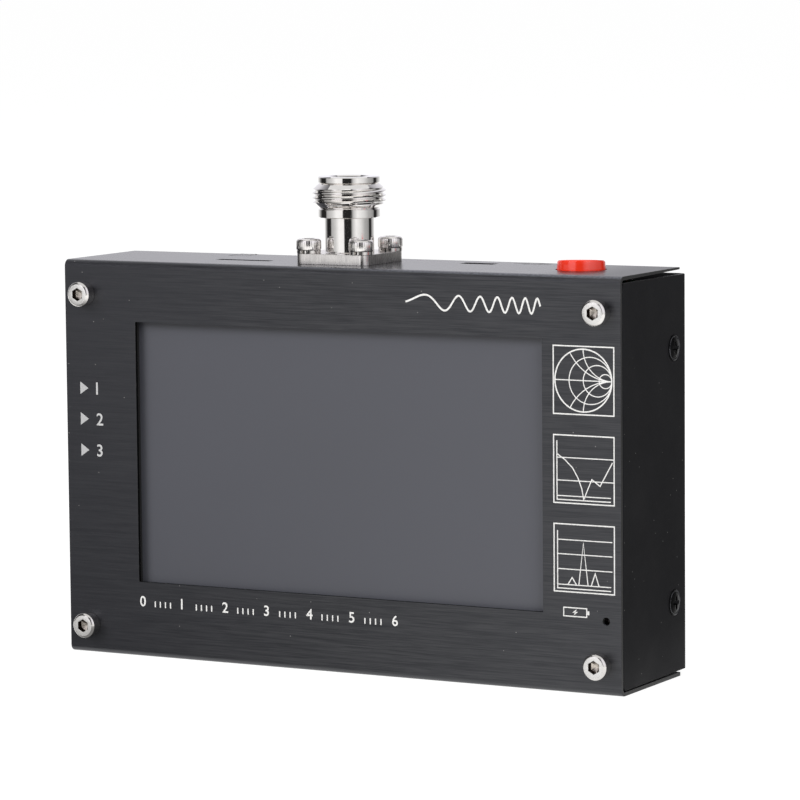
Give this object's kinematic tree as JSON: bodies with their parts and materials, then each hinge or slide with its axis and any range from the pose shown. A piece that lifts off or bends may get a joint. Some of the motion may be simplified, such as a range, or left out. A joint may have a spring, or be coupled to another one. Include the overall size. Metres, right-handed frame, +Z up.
{
  "type": "antenna analyzer",
  "caption": "Handheld antenna analyzer in a folded black metal case with a touch screen, a threaded coaxial socket and a push button on top.",
  "frame": {"origin": "centre of the underside, on the surface that the case stands on", "axes": "+X to the right seen from the front, +Y from the front to the back, +Z up along the coaxial socket's axis"},
  "size_m": [0.1358, 0.0361, 0.1056],
  "materials": {
    "anodised_front": "black anodised, brushed along its length on the front",
    "black_paint": "matte black powder coat",
    "zinc_steel": "zinc-plated",
    "stainless": "stainless steel, turned",
    "black_screw": "black oxide, satin",
    "black_foam": "closed-cell foam",
    "screen_glass": "anti-glare film over dark glass",
    "display_stack": "dark liquid crystal panel",
    "display_steel": "pressed steel",
    "ribbon_film": "amber film",
    "white_plastic": "moulded",
    "circuit_board": "green solder mask",
    "chip_black": "moulded epoxy with tinned leads",
    "black_plastic": "moulded",
    "crystal_can": "bright tin plate",
    "ceramic": "fired ceramic",
    "red_button": "red moulded, satin gloss",
    "white_stem": "acetal",
    "switch_housing": "moulded",
    "spring_steel": "drawn wire",
    "tinned_copper": "tinned",
    "light_lens": "smoked clear resin",
    "pouch_foil": "laminated foil",
    "white_tape": "adhesive tape",
    "red_insulation": "silicone insulation",
    "black_insulation": "silicone insulation",
    "bright_nickel": "bright nickel plate",
    "white_fluoropolymer": "PTFE",
    "gold_plate": "gold plate"
  },
  "bodies": {
    "case": {"front_shell": "anodised_front", "rear_shell": "black_paint", "bracket_left": "zinc_steel", "bracket_right": "zinc_steel", "bracket_nuts": "zinc_steel", "rear_standoffs": "zinc_steel", "front_standoffs": "zinc_steel", "board_screws": "zinc_steel", "flange_nuts": "zinc_steel", "front_screws": "stainless", "flange_screws": "stainless", "flange_washers": "stainless", "side_screws": "black_screw", "screen_gasket": "black_foam", "screen_pads": "black_foam", "touch_panel": "screen_glass", "display_panel": "display_stack", "display_frame": "display_steel", "rf_shield_frame": "display_steel", "rf_shield_cover": "display_steel", "card_socket_shell": "display_steel", "usb_socket_shell": "display_steel", "display_ribbon": "ribbon_film", "touch_ribbon": "ribbon_film", "display_ribbon_socket": "white_plastic", "touch_ribbon_socket": "white_plastic", "battery_socket": "white_plastic", "battery_plug": "white_plastic", "display_board": "circuit_board", "main_board": "circuit_board", "battery_protection_board": "circuit_board", "processor_chip": "chip_black", "memory_chip": "chip_black", "mixer_chips": "chip_black", "clock_chip": "chip_black", "voltage_regulator": "chip_black", "resistors": "chip_black", "power_inductor": "chip_black", "header_socket": "black_plastic", "header_pins": "black_plastic", "card_socket_base": "black_plastic", "usb_socket_tongue": "black_plastic", "crystal": "crystal_can", "capacitors": "ceramic", "power_switch_body": "switch_housing", "power_switch_spring": "spring_steel", "power_switch_terminals": "tinned_copper", "charge_light_leads": "tinned_copper", "rf_feed_wire": "tinned_copper", "charge_light": "light_lens", "battery_cell": "pouch_foil", "battery_tape": "white_tape", "battery_lead_red": "red_insulation", "battery_lead_black": "black_insulation", "rf_socket_body": "bright_nickel", "rf_socket_insulator": "white_fluoropolymer", "rf_socket_contact": "gold_plate"},
    "power_button": {"power_button_cap": "red_button", "power_switch_plunger": "white_stem"}
  },
  "joints": [
    {"name": "power_button_press", "type": "slide", "parent": "case", "child": "power_button", "axis": [0, 0, -1], "range_m": [0, 0.0015], "stiffness_N_per_m": 1200, "springref_m": -0.0008, "deforming": ["power_switch_spring"]}
  ]
}
